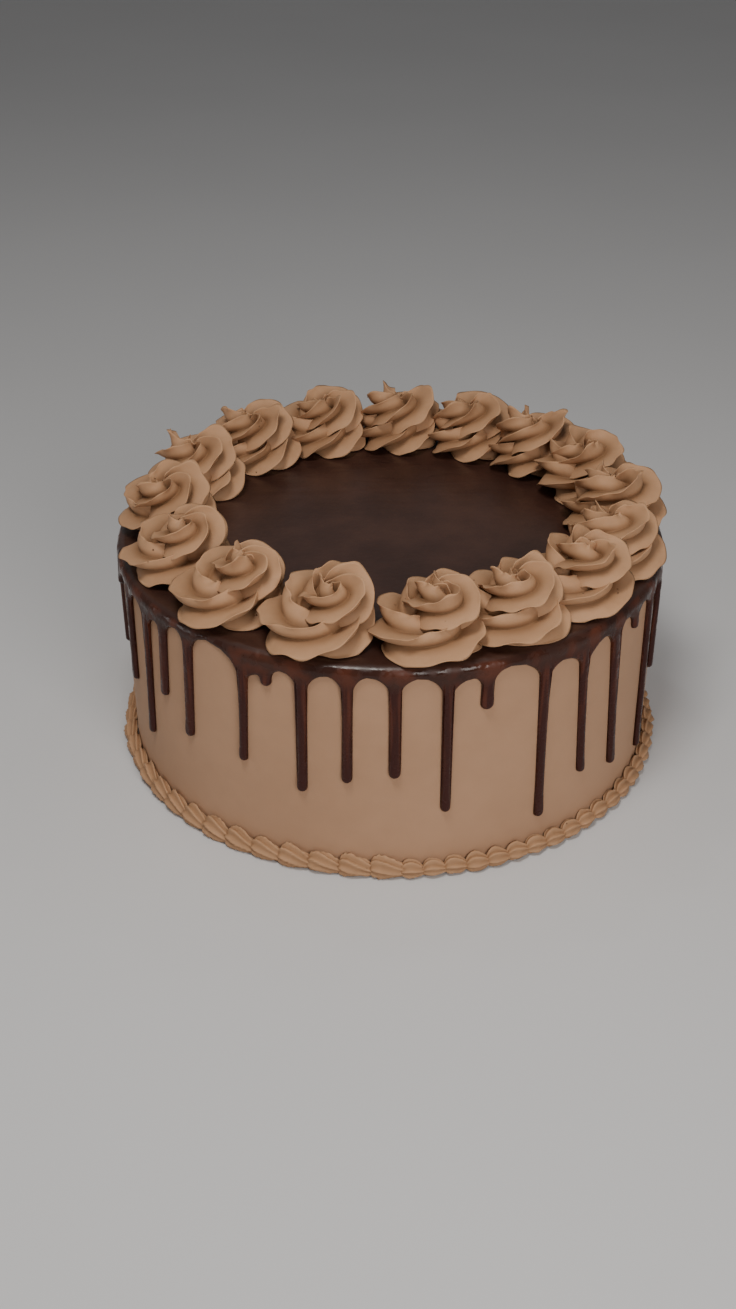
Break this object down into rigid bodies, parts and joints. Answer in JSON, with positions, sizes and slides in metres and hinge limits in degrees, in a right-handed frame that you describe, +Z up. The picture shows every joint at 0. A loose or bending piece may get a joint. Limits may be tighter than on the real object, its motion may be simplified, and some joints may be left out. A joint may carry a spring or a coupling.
{
  "type": "chocolate cake",
  "caption": "Tall round iced chocolate cake with a dark glaze dripping down its side, a ring of piped swirls round the top and a piped shell border at its foot.",
  "frame": {"origin": "middle of the underside, on the surface that the cake stands on", "axes": "+Z up, -Y towards the front of the cake, +X to the right seen from the front"},
  "size_m": [0.2763, 0.2763, 0.1389],
  "materials": {
    "buttercream": "smooth matte chocolate buttercream",
    "ganache": "set dark chocolate glaze, satin on the flat top and glossy at the rim and on the drips",
    "swirl_cream": "satin piped chocolate buttercream with small air bubbles",
    "border_cream": "satin piped chocolate buttercream"
  },
  "bodies": {
    "root": {"cake": "buttercream", "ganache": "ganache", "shell_border": "border_cream", "swirl_01": "swirl_cream", "swirl_02": "swirl_cream", "swirl_03": "swirl_cream", "swirl_04": "swirl_cream", "swirl_05": "swirl_cream", "swirl_06": "swirl_cream", "swirl_07": "swirl_cream", "swirl_08": "swirl_cream", "swirl_09": "swirl_cream", "swirl_10": "swirl_cream", "swirl_11": "swirl_cream", "swirl_12": "swirl_cream", "swirl_13": "swirl_cream", "swirl_14": "swirl_cream", "swirl_15": "swirl_cream", "swirl_16": "swirl_cream"}
  },
  "joints": []
}
